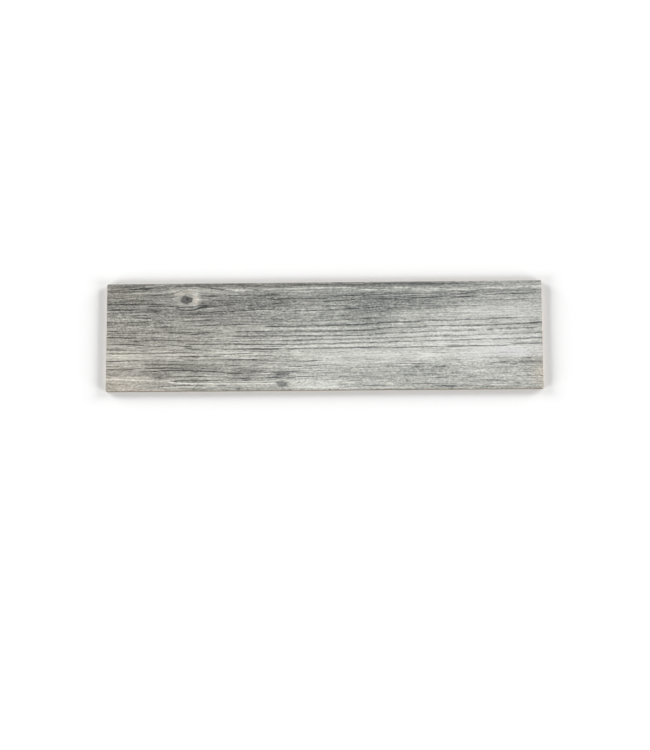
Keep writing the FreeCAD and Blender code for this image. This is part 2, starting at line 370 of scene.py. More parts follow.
PALE_LINES = (
    # level, half thickness, path
    (40, 1.4, ((-264, 69.2), (-244, 70.6), (-220, 73))),
    (24, 1.4, ((-264, 61.2), (-245, 62), (-228, 63), (-214, 63.6), (-203, 66))),
    (24, 0.8, ((-272, 32.2), (-240, 32.1))),
    (18, 0.9, ((-282, 24.6), (-262, 24.4), (-240, 24))),
    (22, 0.9, ((-192, 23.6), (-178, 24), (-164, 25))),
    (24, 0.8, ((-160.5, 39.8), (-156, 39.6))),
    (24, 1.0, ((-173, 52.2), (-160, 52.2))),
    (22, 0.7, ((-123, 34.6), (-100, 35.2), (-80, 35.6), (-60, 34.6))),
    (20, 0.9, ((-86, 47.6), (-76, 47.8))),
    (22, 1.0, ((-308, -13.4), (-280, -13.8), (-258, -14.8))),
    (16, 1.2, ((-240, -15.4), (-215, -15.4), (-196, -16.4))),
    (24, 0.9, ((-308, -20.2), (-262, -20.6), (-240, -20.6), (-212, -20.8))),
    (12, 1.4, ((-308, -25.4), (-262, -25.6), (-232, -25), (-184, -24.8))),
    (14, 1.2, ((-308, -28.4), (-262, -28.6), (-232, -29.4), (-200, -29.6))),
    (18, 0.7, ((-292, -31), (-262, -30.6), (-238, -30.1))),
    (16, 0.8, ((-292, -35.2), (-262, -34.8))),
    (22, 0.7, ((-308, -42.9), (-284, -43.1))),
    (24, 0.9, ((-264, -46.4), (-240, -46), (-224, -46.2))),
    (32, 1.1, ((-308, -58), (-285, -58.3), (-262, -59.2))),
    (30, 1.2, ((-264, -59.2), (-242, -60.2), (-222, -61.4), (-205, -63))),
    (70, 0.9, ((-212, -63), (-200, -64.6), (-180, -65.4), (-150, -65.7), (-110, -65.7), (-66, -66))),
    (18, 0.6, ((-292, -72.6), (-250, -73), (-196, -73))),
    (20, 0.9, ((-188, -57.4), (-150, -57.5))),
    (24, 0.9, ((-160, -22), (-130, -22.2), (-104, -22.4))),
    (18, 0.8, ((-150, -26.6), (-110, -25.6), (-62, -25))),
    (18, 0.9, ((-172, -29.5), (-130, -29.4))),
    (20, 0.8, ((-78, -36.4), (-58, -36.6))),
    (24, 0.7, ((-35, -55), (-17, -55.2))),
    (24, 0.7, ((-31, -57.4), (-14, -57.4))),
    (22, 1.0, ((-46, -71.6), (-20, -71), (22, -71.4))),
    (44, 0.9, ((-128, 64.4), (-98, 64.7))),
    (22, 0.9, ((-137, 66), (-129, 66))),
    (40, 0.9, ((-88, 65.8), (-60, 66))),
    (40, 0.9, ((-50, 66), (-30, 66.8), (0, 67.8), (30, 67.2), (45, 65.7))),
    (26, 1.0, ((50, 64.6), (63, 63.4))),
    (34, 1.2, ((60, 62.8), (76, 63))),
    (34, 1.0, ((98, 66.3), (122, 66.4))),
    (26, 1.0, ((122, 64.6), (133, 64.4))),
    (32, 1.1, ((138, 62), (162, 62.4))),
    (28, 1.1, ((165, 62.8), (182, 63.8), (198, 63.4))),
    (28, 1.0, ((200, 62.4), (215, 62.8))),
    (32, 1.5, ((220, 64.6), (240, 65.8), (262, 65.6))),
    (34, 1.5, ((266, 66.6), (308, 66.8))),
    (24, 1.0, ((-4, 57.4), (2, 57.6))),
    (24, 1.0, ((-17, 39.6), (-1, 39.6))),
    (22, 1.0, ((10, 39), (29, 39))),
    (28, 1.2, ((-32, 33), (-19, 33))),
    (24, 1.0, ((-18, 33.4), (-7, 33.5))),
    (24, 1.4, ((16, 33), (32, 33))),
    (22, 0.8, ((182, 54.8), (197, 55.2))),
    (22, 0.8, ((222, 56.9), (238, 57.3))),
    (26, 0.9, ((-60, 9.4), (0, 9.8), (60, 10.6))),
    (26, 0.8, ((-40, 3.2), (30, 3.4))),
    (24, 0.8, ((-60, -3), (0, -2.4), (60, -1.6))),
    (26, 0.9, ((-30, -8), (10, -7.6), (50, -7.2))),
    (26, 1.0, ((-60, -14.2), (10, -13.6), (70, -13.4))),
    (26, 0.9, ((158, 9.2), (220, 10))),
    (22, 0.8, ((150, 2), (230, 3.4))),
    (22, 0.9, ((150, -4.6), (250, -3))),
    (14, 1.0, ((150, -11.6), (240, -10.8))),
    (14, 2.0, ((206, -21), (252, -21.6))),
    (14, 1.6, ((4, -28.4), (22, -28.6))),
    (14, 1.4, ((132, -26.4), (146, -26.6))),
    (22, 1.4, ((200, -34), (240, -34.4))),
    (22, 0.8, ((160, -55.4), (190, -55.8))),
    (24, 1.2, ((208, -49.6), (219, -49.6))),
    (20, 1.4, ((220, -58.4), (238, -58.6))),
    (24, 1.1, ((204, -69), (216, -69))),
    (22, 1.0, ((228, -69.2), (248, -69.4))),
    (26, 1.4, ((86, -67), (96, -67))),
    (20, 0.9, ((56, -72.4), (90, -72.6), (122, -72.2))),
)
WARM_SHADES = (
    # amount, along, across, reach along, reach across
    (0.8, -330, -35, 140, 90),
    (0.3, -150, -10, 110, 100),
    (0.4, -100, 71, 150, 3),
    (0.6, 300, -55, 16, 26),
    (0.4, -285, 62, 60, 16),
    (0.3, -290, -70, 60, 12),
)
BLUSH_SHADES = (
    # amount, along, across, reach along, reach across
    (0.5, -292, -64, 26, 12),
    (0.5, 297, -58, 10, 20),
    (0.7, -203, 60, 9, 4),
    (0.8, -177, 52, 5, 6),
    (0.6, -187, 63, 11, 3),
)
COOL_SHADES = (
    # amount, along, across, reach along, reach across
    (1.0, 265, -24, 60, 10),
    (0.8, 255, 38, 70, 14),
    (0.5, 230, 0, 90, 14),
)
MOTTLED = (
    # amount, along, across, reach along, reach across
    (0.12, 100, 45, 130, 14),
    (0.2, -80, 38, 70, 16),
    (0.12, 140, -46, 170, 14),
    (0.2, -260, 20, 60, 20),
    (-0.2, 60, -30, 90, 12),
    (-0.2, 230, -22, 80, 9),
    (-0.2, 240, 32, 70, 8),
    (-0.15, -250, -25, 60, 12),
    (-0.3, -189, 54, 17, 10),
)
MOTTLE_FLOOR = 0.45
LINED = (
    # amount, along, across, reach along, reach across
    (-0.85, 110, 2, 190, 21),
    (-0.55, 150, -45, 160, 18),
    (-0.3, 100, 50, 160, 18),
    (-0.5, -235, 24, 85, 19),
    (-0.9, -189, 54, 16, 10),
)
LINED_FLOOR = 0.95
KNOT_HEARTS = (
    # along, across, half length, half width, raggedness, softness, level, pith along and across, its level
    (-189.2, 52.2, 7.4, 6.3, 0.4, 0.12, 98, -188.2, 53.2, 58),
    (-56, -66, 7.2, 3.9, 0.8, 0.45, 130, -53, -65.8, 104),
)
PITH_SMALLER = 3  # how many times smaller than its heart a pith is
PITH_EDGE = (0.3, 1.3)
HEART_PLAY = 0.14

# How the print is drawn. Inks and breadths multiply what the tables say; a groove is full at the level given.
LATTICE = 256
JUST_INSIDE = 0.001
RAGGED_SHARE = 0.3  # a spot's outline wanders by this share of its reach, and by no more than the most below
MOST_RAGGED_ALONG = 14
MOST_RAGGED_ACROSS = 2.5
RING_INK = 1.75
RING_BREADTH = 1.35
DARK_INK = 1.9
PALE_INK = 1.6
FULL_DARK_GROOVE = 60
FULL_PALE_RIDGE = 200
FULL_FIBRE_GROOVE = 90
MOST_FIBRE_GROOVE = 0.3
YEAR_PITCH = 3.7
YEAR_HALF_WIDTH = 0.65
YEAR_INK = 29
YEAR_GROOVE = 0.5
YEAR_MEAN = 0.5
YEAR_MOST = 1.2
YEAR_APART = 1.7  # how far apart in the noise two years lie
LINE_TAPER = 8
LINE_TAPER_SHARE = 0.35  # a short line tapers over this share of its length
LINE_ROOM = (4, 1)  # room beside a line's path, in half thicknesses and millimetres
LINE_FINENESS = 0.86
LEAST_HALF_THICKNESS = 0.7
LINE_MEAN = 0.85
LINE_BITE = 0.45  # how far a line is deepened against its skirt, and the skirt eased against the field
SKIRT_EASE = 0.3
LINE_SKIRT = 1.2
LINE_FIELD = 3.5
BLUR_ROOM = 2
GRAIN_RISE = 5  # the grain rises towards the plank's right end, above a line and over a width
GRAIN_RISE_REACH = 300
GRAIN_RISE_FOOT = -40
GRAIN_RISE_WIDTH = 50
STREWN = (
    # how many, least and most length, least and most half width, level
    (4400, (6, 30), (0.4, 0.7), 16),
    (1700, (35, 110), (0.3, 0.5), 14),
)
DASH_ROOM = 3
MOST_DASH = 1.6
STREWN_SEED = 7

# Noise on the face: its play, the millimetres along and across in which it changes, and its seed
WAVERS = ((0.5, 60, 16, 1), (0.12, 15, 6, 2), (0.22, 5, 2.2, 5))
SPOTS_ALONG = (1, 60, 10, 3)
SPOTS_ACROSS = (1, 35, 12, 4)
YEAR_WANDERS = ((0.9, 110, 14, 21), (0.35, 28, 7, 22))

# Noise along one line: its play, the millimetres in which it changes, and its seed
LINE_SWELLS = (0.3, 9, 11)
LINE_BREAKS = (0.4, 4, 12)
YEAR_FADES = (0.8, 40, 23)

# The glaze's grain, finer than the drawing: changes a millimetre along, across and upwards, detail, roughness
STREAKS = ((0.035, 0.55, 1), 3, 0.6)
FIBRES = ((0.15, 1.6, 1), 2, 0.6)
FINE_GRAIN = ((0.7, 6.0, 1), 2, 0.5)
PORES = ((0.22, 3.0, 1), 2, 0.55)
SPECKLE = ((0.3, 0.6, 1), 2, 0.75)
BLOTCH = ((0.14, 0.2, 1), 2, 0.6)
NOISE_SLICE = 0.37
NOISE_BULK = (0.3, 0.7)  # the range that most of a noise lies in
STROKE_PLAY = 0.3
STREAK_PLAY = 0.24
FIBRE_PLAY = 0.3
FINE_PLAY = 0.16
MOTTLE_PLAY = 0.64
PORE_EDGE = (0.58, 0.72)
PORE_INK = 0.2
GLAZE_BUMP = (0.9, 0.2 * MM)  # strength and depth
FINE_RELIEF = 0.5
GLAZE_ROUGHNESS = (0.3, 0.9, 0.8, 0.6)  # a dark and a pale tone, and how rough each is
GLAZE_SPECULAR = 0.3
# The rim: how far its wear and painted edge shade reach, how ragged their edge is, and how strongly they
# cover the print
RIM_WIDTH = 1.3
RIM_RAGGED = 1.5
RIM_WEAR_AND_SHADE = 0.4

# Paints: red, green and blue in steps of 255
GREY_INKS = (
    # level, paint
    (40, (36, 39, 42)),
    (90, (86, 89, 90)),
    (130, (128, 130, 127)),
    (170, (169, 170, 164)),
    (210, (209, 210, 203)),
    (245, (231, 232, 226)),
)
BROWN_INKS = (
    # level, paint
    (40, (44, 40, 36)),
    (90, (94, 89, 82)),
    (130, (135, 130, 121)),
    (170, (174, 169, 159)),
    (210, (212, 208, 197)),
    (245, (232, 230, 220)),
)
BLUSH_TINT = (255, 247, 243)
COOL_TINT = (251, 249, 255)
# The rim's colours: the fired body showing through, darkened with painted edge shade, darker along the long
# sides than at the ends
SIDE_RIM_WEAR_AND_SHADE = (118, 108, 95)
END_RIM_WEAR_AND_SHADE = (142, 127, 106)
DARK_BODY = (136, 122, 103)
PALE_BODY = (156, 142, 123)
GRIT = (104, 91, 75)
KILN_WASH = (205, 199, 188)
FLOOR_SEEN = (255, 255, 255)
FLOOR_AS_BOUNCE = (190, 190, 190)

# The fired body: changes a metre each way, detail and roughness of its noises
BODY_CLOUD = ((60, 60, 60), 4, 0.6)
BODY_GRIT = ((1400, 1400, 1400), 2, 0.6)
GRIT_EDGE = (0.6, 0.75)
WASH_HEIGHTS = (0.05 * MM, 0.2 * MM)
WASH_CLOUD = (0.35, 0.6, 0.15, 0.75)  # a low and a high place of the cloud, and how thick the wash is at each
BODY_BUMP = (0.4, 0.1 * MM)  # strength and depth
BODY_ROUGHNESS = (0.75, 0.9)

# The stage, in metres, with the camera's sensor and lens in millimetres
FLOOR_SIDE = 8
FLOOR_LIFT = 0.01  # the floor's own light near the plank; it grows to full white over the distances below
FLOOR_FADE = (0.36, 0.9)
CAMERA_PLACE = (0.0758, -0.350, 2.1337)
CAMERA_TURN = (math.radians(7.909), math.radians(2.011), math.radians(-0.172))
SENSOR_HEIGHT = 24
LENS = 50.15
WORLD_FILL = 0.03
SOFTBOXES = (
    # name, place, width, height, watts
    ("back_left_softbox", (-6.3, 3.6, 2.7), 3.9, 3.9, 482),
    ("back_right_softbox", (6.3, 3.6, 2.7), 3.9, 3.9, 482),
    ("front_left_softbox", (-6.3, -3.6, 2.7), 3.9, 3.9, 418),
    ("front_right_softbox", (6.3, -3.6, 2.7), 3.9, 3.9, 418),
)


def paint(red, green, blue):
    """A colour given in steps of 255 as a screen shows it, in the linear values that shaders take."""
    def linear(step):
        value = step / WHITE
        return value / 12.92 if value <= 0.04045 else ((value + 0.055) / 1.055) ** 2.4
    return (linear(red), linear(green), linear(blue), 1)


def select(piece, kind, test):
    """Selects just those faces or edges of the piece in edit mode that pass the test."""
    bpy.ops.mesh.select_all(action="DESELECT")
    mesh = bmesh.from_edit_mesh(piece.data)
    for item in getattr(mesh, kind):
        if test(item):
            item.select_set(True)
    mesh.select_flush_mode()
    bmesh.update_edit_mesh(piece.data)


def on_back(face):
    return face.normal.z < FACING_DOWN and face.calc_center_median().z < TOUCH


def in_key_cell(face):
    """Whether a face of the back is one of the squares between the ribs."""
    middle = face.calc_center_median()
    for place, count in ((middle.x, KEYS_ALONG), (middle.y, KEYS_ACROSS)):
        cells = place / KEY_PITCH - 0.5
        if abs(cells - round(cells)) * KEY_PITCH > TOUCH or abs(place) > count / 2 * KEY_PITCH:
            return False
    return on_back(face)


def runs_along(edge, axis):
    """Whether an edge of the plank's sides or eased edges runs straight along an axis."""
    start, end = (vertex.co for vertex in edge.verts)
    middle = (start + end) / 2
    outer = abs(middle[1 - axis]) > PLANK_SIZE[1 - axis] / 2 - EDGE_RADIUS - TOUCH
    straight = abs((end - start)[axis]) > (end - start).length - TOUCH * MM
    return outer and straight and middle.z > FOOT_BEVEL - TOUCH


def press_body():
    """The plank's sides and back: eased edges, a bevelled foot and key cells, open where the face goes."""
    bpy.ops.object.select_all(action="DESELECT")
    bpy.ops.mesh.primitive_cube_add(size=1, location=(PLANK_LOW + PLANK_HIGH) / 2, scale=PLANK_SIZE)
    body = bpy.context.object
    body.name = "grained_plank"
    bpy.ops.object.transform_apply(location=True, rotation=False, scale=True)
    bpy.ops.object.mode_set(mode="EDIT")
    bpy.ops.mesh.select_mode(type="EDGE")
    select(body, "edges", lambda edge: max(v.co.z for v in edge.verts) > TOUCH)
    bpy.ops.mesh.bevel(offset=EDGE_RADIUS, segments=EDGE_STEPS, affect="EDGES")
    select(body, "edges", lambda edge: max(v.co.z for v in edge.verts) < TOUCH)
    bpy.ops.mesh.bevel(offset=FOOT_BEVEL, segments=1, affect="EDGES")
    bpy.ops.mesh.select_mode(type="FACE")
    for axis, count in ((0, KEYS_ALONG), (1, KEYS_ACROSS)):
        for cell in range(-count // 2, count // 2):
            for place in (cell * KEY_PITCH + KEY_RIB / 2, (cell + 1) * KEY_PITCH - KEY_RIB / 2):
                cut = [0, 0, 0]
                facing = [0, 0, 0]
                cut[axis] = place
                facing[axis] = 1
                select(body, "faces", on_back)
                bpy.ops.mesh.bisect(plane_co=cut, plane_no=facing)
    select(body, "faces", in_key_cell)
    bpy.ops.mesh.inset(use_individual=True, thickness=KEY_DEPTH * math.tan(KEY_DRAFT), depth=-KEY_DEPTH)
    select(body, "faces", lambda face: face.calc_center_median().z > PLANK_HIGH.z - TOUCH)
    bpy.ops.mesh.delete(type="FACE")
    bpy.ops.mesh.select_mode(type="EDGE")
    for axis, goes in ((0, PARTS_ALONG), (1, PARTS_ACROSS)):
        for parts in goes:
            select(body, "edges", lambda edge: runs_along(edge, axis))
            bpy.ops.mesh.subdivide(number_cuts=parts - 1)
    bpy.ops.object.mode_set(mode="OBJECT")
    return body


def press_plank():
    """The whole plank, one closed piece: the body with its finely divided face let in."""
    body = press_body()
    bpy.ops.object.select_all(action="DESELECT")
    bpy.ops.mesh.primitive_grid_add(
        x_subdivisions=COLUMNS, y_subdivisions=ROWS, size=1, location=(0, 0, PLANK_HIGH.z))
    bpy.ops.transform.resize(value=(FACE_LENGTH, FACE_WIDTH, 1))
    bpy.ops.object.transform_apply(location=True, rotation=False, scale=True)
    body.select_set(True)
    bpy.context.view_layer.objects.active = body
    bpy.ops.object.join()
    bpy.ops.object.mode_set(mode="EDIT")
    bpy.ops.mesh.select_all(action="SELECT")
    bpy.ops.mesh.remove_doubles(threshold=TOUCH)
    bpy.ops.object.mode_set(mode="OBJECT")
    return body


def ripple(along, across, seed):
    """A smooth random field from -1 to 1 that changes about once a unit."""
    lattice = np.random.default_rng(seed).uniform(-1, 1, (LATTICE, LATTICE))
    column = np.floor(along).astype(int)
    row = np.floor(across).astype(int)
    ease_along = (along - column) ** 2 * (3 - 2 * (along - column))
    ease_across = (across - row) ** 2 * (3 - 2 * (across - row))

    def corner(right, up):
        return lattice[(row + up) % LATTICE, (column + right) % LATTICE]

    lower = corner(0, 0) + ease_along * (corner(1, 0) - corner(0, 0))
    upper = corner(0, 1) + ease_along * (corner(1, 1) - corner(0, 1))
    return lower + ease_across * (upper - lower)


def soft_spot(along, across, x, y, reach_x, reach_y):
    return np.exp(-((along - x) / reach_x) ** 2 - ((across - y) / reach_y) ** 2)


class FaceDrawing:
    """The wood print, drawn on the rows and columns of the face in millimetres and steps of 255."""

    def __init__(self):
        self.xs = np.linspace(-FACE_LENGTH / 2, FACE_LENGTH / 2, COLUMNS + 1) / MM
        self.ys = np.linspace(-FACE_WIDTH / 2, FACE_WIDTH / 2, ROWS + 1) / MM
        self.along, self.across = np.meshgrid(self.xs, self.ys)
        self.waver = self.across.copy()
        for waver in WAVERS:
            self.waver += self.unrest(*waver)
        self.level = np.full_like(self.along, BASE_LEVEL)
        self.groove = np.zeros_like(self.along)
        self.lines = 0

    def unrest(self, play, along, across, seed):
        """A random field over the face, from -play to play."""
        return play * ripple(self.along / along, self.across / across, seed)

    def window(self, low_x, high_x, low_y, high_y):
        left, right = np.searchsorted(self.xs, (low_x, high_x))
        low, high = np.searchsorted(self.ys, (low_y, high_y))
        return slice(low, high), slice(left, right)

    def spots(self, table):
        """Broad soft areas with ragged outlines, each an amount, a place and a reach."""
        ragged_x = self.unrest(*SPOTS_ALONG)
        ragged_y = self.unrest(*SPOTS_ACROSS)
        total = np.zeros_like(self.along)
        for amount, x, y, reach_x, reach_y in table:
            along = self.along + min(MOST_RAGGED_ALONG, RAGGED_SHARE * reach_x) * ragged_x
            across = self.across + min(MOST_RAGGED_ACROSS, RAGGED_SHARE * reach_y) * ragged_y
            total += amount * soft_spot(along, across, x, y, reach_x, reach_y)
        return total

    def line_unrest(self, xs, play, pace, seed):
        """A random change along the line that is being drawn, from -play to play."""
        return play * ripple(xs / pace, np.full_like(xs, self.lines + 0.5), seed)

    def line(self, shade, half_thickness, path, depth):
        """A line through the path's points, tapered at both ends, uneven and a little broken."""
        self.lines += 1
        path_x = [x for x, y in path]
        path_y = [y for x, y in path]
        first, last = path_x[0], path_x[-1]
        taper = min(LINE_TAPER, LINE_TAPER_SHARE * (last - first))
        room = LINE_ROOM[0] * half_thickness + LINE_ROOM[1]
        part = self.window(first - taper, last + taper, min(path_y) - room, max(path_y) + room)
        xs = self.xs[part[1]]
        ends = np.minimum(xs - first, last - xs) / taper + 0.5
        strength = np.clip(ends, 0, 1) * (LINE_MEAN + self.line_unrest(xs, *LINE_BREAKS))
        thickness = max(LINE_FINENESS * half_thickness, LEAST_HALF_THICKNESS)
        thickness = thickness * (1 + self.line_unrest(xs, *LINE_SWELLS))
        mask = strength * np.exp(-((self.waver[part] - np.interp(xs, path_x, path_y)) / thickness) ** 2)
        self.level[part] += shade * mask
        self.groove[part] += depth * mask

    def fibres(self):
        """Short dashes and long threads strewn over the face, light and dark, each tapered to both ends."""
        random = np.random.default_rng(STREWN_SEED)
        field = np.zeros_like(self.along)
        for count, lengths, half_widths, level in STREWN:
            for _ in range(count):
                x = random.uniform(self.xs[0], self.xs[-1])
                y = random.uniform(self.ys[0], self.ys[-1])
                length = random.uniform(*lengths)
                half_width = random.uniform(*half_widths)
                room = DASH_ROOM * half_width
                part = self.window(x - length, x + length, y - room, y + room)
                dash = soft_spot(self.along[part], self.across[part], x, y, length / 2, half_width)
                field[part] += level * np.clip(random.normal(), -MOST_DASH, MOST_DASH) * dash
        return field

    def year_lines(self, flow):
        """Long thin lines that follow the grain, run together and part again, and fade in and out."""
        count = flow / YEAR_PITCH
        for wander in YEAR_WANDERS:
            count += self.unrest(*wander)
        year = np.rint(count)
        play, pace, seed = YEAR_FADES
        fade = play * ripple(self.along / pace, year * YEAR_APART + 0.5, seed)
        ink = np.clip(YEAR_MEAN + fade, 0, YEAR_MOST)
        return ink * np.exp(-((count - year) * YEAR_PITCH / YEAR_HALF_WIDTH) ** 2)

    def softened(self, field, reach):
        """A field blurred across the grain."""
        pitch = self.ys[1] - self.ys[0]
        far = math.ceil(BLUR_ROOM * reach / pitch)
        weights = np.exp(-(np.arange(-far, far + 1) * pitch / reach) ** 2)
        weights /= weights.sum()
        padded = np.pad(field, ((far, far), (0, 0)), mode="edge")
        return sum(weight * padded[row:row + len(field)] for row, weight in enumerate(weights))

    def crisp(self):
        """Deepens the lines and takes off their wide skirts, so that they stand out thin."""
        skirted = self.softened(self.level, LINE_SKIRT)
        field = self.softened(self.level, LINE_FIELD)
        self.level += LINE_BITE * (self.level - skirted) - SKIRT_EASE * (skirted - field)

    def read(self, field, across):
        """A field of the drawing, read at other places across the grain."""
        row = np.clip((across - self.ys[0]) / (self.ys[1] - self.ys[0]), 0, ROWS - JUST_INSIDE)
        low = row.astype(int)
        column = np.arange(COLUMNS + 1)
        return field[low, column] * (1 - row + low) + field[low + 1, column] * (row - low)


def draw_print():
    """The drawn layers of the print and how deep each place is embossed, from 0 to 1."""
    face = FaceDrawing()
    flow = face.waver.copy()
    clear = np.ones_like(flow)
    for x, y, reach_x, reach_y, give, clearing in KNOTS:
        near = soft_spot(face.along, face.across, x, y, reach_x, reach_y)
        flow = y + (flow - y) * (1 - give * near)
        clear -= clearing * near
    rise_across = np.clip((face.across - GRAIN_RISE_FOOT) / GRAIN_RISE_WIDTH, 0, 1)
    flow -= GRAIN_RISE * np.clip(face.along / GRAIN_RISE_REACH, 0, 1) * rise_across
    fibres = clear * face.read(face.fibres(), flow)
    face.level += face.spots(SHADES) + fibres
    face.groove -= np.clip(fibres / FULL_FIBRE_GROOVE, -MOST_FIBRE_GROOVE, MOST_FIBRE_GROOVE)
    years = face.year_lines(flow) * np.clip(LINED_FLOOR + face.spots(LINED), 0, 1)
    face.level -= YEAR_INK * years
    face.groove += YEAR_GROOVE * years
    for shade, half_thickness, path in RINGS:
        face.line(shade * RING_INK, half_thickness * RING_BREADTH, path, -shade / FULL_DARK_GROOVE)
    for shade, half_thickness, path in DARK_LINES:
        face.line(shade * DARK_INK, half_thickness, path, -shade / FULL_DARK_GROOVE)
    for shade, half_thickness, path in PALE_LINES:
        face.line(shade * PALE_INK, half_thickness, path, -shade / FULL_PALE_RIDGE)
    face.crisp()
    layers = {
        "print_tone": face.level / WHITE,
        "print_warmth": np.clip(face.spots(WARM_SHADES), 0, 1),
        "print_blush": np.clip(face.spots(BLUSH_SHADES), 0, 1),
        "print_cool": np.clip(face.spots(COOL_SHADES), 0, 1),
        "print_mottle": np.clip(MOTTLE_FLOOR + face.spots(MOTTLED), 0, 1),
        "grain_across": flow,
    }
    return face, layers, np.clip(EMBOSS_GROUND + (1 - EMBOSS_GROUND) * face.groove, 0, 1)


def print_and_emboss(plank):
    """Lays the print on the plank's face as attributes and presses its grain into the face."""
    face, layers, emboss = draw_print()
    mesh = plank.data
    places = np.empty(len(mesh.vertices) * 3, dtype=np.float32)
    mesh.vertices.foreach_get("co", places)
    places = places.reshape(-1, 3) / MM
    column = np.rint((places[:, 0] - face.xs[0]) / (face.xs[1] - face.xs[0])).astype(int).clip(0, COLUMNS)
    row = np.rint((places[:, 1] - face.ys[0]) / (face.ys[1] - face.ys[0])).astype(int).clip(0, ROWS)
    for name, layer in layers.items():
        attribute = mesh.attributes.new(name, "FLOAT", "POINT")
        attribute.data.foreach_set("value", np.ascontiguousarray(layer[row, column], dtype=np.float32))
    border = np.minimum(face.xs[-1] - abs(places[:, 0]), face.ys[-1] - abs(places[:, 1]))
    weights = emboss[row, column] * np.clip(border / EMBOSS_BORDER, 0, 1)
    pressed = plank.vertex_groups.new(name="emboss")
    for index in np.flatnonzero(places[:, 2] > (PLANK_HIGH.z - TOUCH) / MM).tolist():
        pressed.add([index], weights[index], "REPLACE")
    bpy.ops.object.modifier_add(type="DISPLACE")
    press = plank.modifiers[-1]
    press.direction = "Z"
    press.mid_level = 0
    press.strength = -EMBOSS_DEPTH
    press.vertex_group = pressed.name
    bpy.ops.object.modifier_apply(modifier=press.name)
    bpy.ops.object.shade_smooth_by_angle(angle=SMOOTH_ANGLE)


# Sockets of a Mix node that share their names: the factor and the two values or colours, and the mixed colour
VALUE_MIX = (0, 2, 3)
COLOUR_MIX = (0, 6, 7)
MIXED_COLOUR = 2


class Nodes:
    """Adds and wires the nodes of one material or of the world."""

    def __init__(self, tree):
        self.tree = tree

    def add(self, kind, inputs=None, **settings):
        node = self.tree.nodes.new(kind)
        for name, value in settings.items():
            setattr(node, name, value)
        for socket, value in (inputs or {}).items():
            self.feed(node.inputs[socket], value)
        return node

    def feed(self, socket, value):
        if isinstance(value, bpy.types.NodeSocket):
            self.tree.links.new(value, socket)
        else:
            socket.default_value = value

    def math(self, operation, first, second=0.0):
        return self.add("ShaderNodeMath", {0: first, 1: second}, operation=operation).outputs[0]

    def spread(self, value, low, high, to_low=0.0, to_high=1.0, smooth=False):
        """Maps a value from one range to another, and keeps it there."""
        kind = "SMOOTHSTEP" if smooth else "LINEAR"
        inputs = {"Value": value, "From Min": low, "From Max": high, "To Min": to_low, "To Max": to_high}
        return self.add("ShaderNodeMapRange", inputs, interpolation_type=kind).outputs["Result"]

    def mix(self, factor, first, second, mode="MIX"):
        """Mixes two colours."""
        node = self.add("ShaderNodeMix", data_type="RGBA", blend_type=mode)
        for socket, value in zip(COLOUR_MIX, (factor, first, second)):
            self.feed(node.inputs[socket], value)
        return node.outputs[MIXED_COLOUR]

    def blend(self, factor, first, second):
        """Mixes two values."""
        node = self.add("ShaderNodeMix", data_type="FLOAT")
        for socket, value in zip(VALUE_MIX, (factor, first, second)):
            self.feed(node.inputs[socket], value)
        return node.outputs[0]

    def place(self, along, across):
        return self.add("ShaderNodeCombineXYZ", {"X": along, "Y": across, "Z": NOISE_SLICE}).outputs[0]

    def noise(self, place, scale, detail, roughness):
        stretched = self.add("ShaderNodeVectorMath", {0: place, 1: scale}, operation="MULTIPLY").outputs[0]
        inputs = {"Vector": stretched, "Scale": 1.0, "Detail": detail, "Roughness": roughness}
        return self.add("ShaderNodeTexNoise", inputs).outputs[0]

    def away(self, along, across, x, y, half_length, half_width):
        """How far a place is from a middle, 1 on the ellipse of that half length and half width."""
        from_x = self.math("DIVIDE", self.math("SUBTRACT", along, x), half_length)
        from_y = self.math("DIVIDE", self.math("SUBTRACT", across, y), half_width)
        squares = [self.math("MULTIPLY", way, way) for way in (from_x, from_y)]
        return self.math("SQRT", self.math("ADD", *squares))

    def ramp(self, value, stops):
        node = self.add("ShaderNodeValToRGB", {0: value})
        elements = node.color_ramp.elements
        while len(elements) < len(stops):
            elements.new(1.0)
        for element, (position, colour) in zip(elements, stops):
            element.position = position
            element.color = colour
        return node.outputs["Color"]

    def attribute(self, name):
        return self.add("ShaderNodeAttribute", attribute_name=name).outputs["Fac"]


def new_material(name):
    material = bpy.data.materials.new(name)
    material.use_nodes = True
    material.node_tree.nodes.clear()
    return material, Nodes(material.node_tree)


def stops(inks):
    return [(level / WHITE, paint(*ink)) for level, ink in inks]


def knot_hearts(n, tone, along, across, blotch, speckle):
    """The tone with the knots' ragged hearts laid over it, each darkest at its pith."""
    for x, y, half_length, half_width, raggedness, softness, level, pith_x, pith_y, pith_level in KNOT_HEARTS:
        ragged = n.spread(n.math("ADD", blotch, speckle), 0, 2, -raggedness * 2, raggedness * 2)
        heart = n.away(along, across, x, y, half_length, half_width)
        pith = n.away(along, across, pith_x, pith_y, half_length / PITH_SMALLER, half_width / PITH_SMALLER)
        in_heart = n.spread(n.math("ADD", heart, ragged), 1 - softness, 1 + softness, 1, 0, True)
        in_pith = n.spread(n.math("ADD", pith, ragged), *PITH_EDGE, 1, 0, True)
        heart_level = n.spread(in_pith, 0, 1, level / WHITE, pith_level / WHITE)
        heart_tone = n.math("ADD", n.spread(speckle, 0, 1, -HEART_PLAY, HEART_PLAY), heart_level)
        tone = n.blend(in_heart, tone, heart_tone)
    return tone


def print_colour(n, tone):
    """The print's ink for a tone: grey, browner where it is warm, tinted where it blushes or is cool."""
    grey = n.ramp(tone, stops(GREY_INKS))
    brown = n.ramp(tone, stops(BROWN_INKS))
    ink = n.mix(n.attribute("print_warmth"), grey, brown)
    for layer, tint in (("print_blush", BLUSH_TINT), ("print_cool", COOL_TINT)):
        tinted = n.mix(1.0, ink, paint(*tint), "MULTIPLY")
        ink = n.mix(n.attribute(layer), ink, tinted)
    return ink


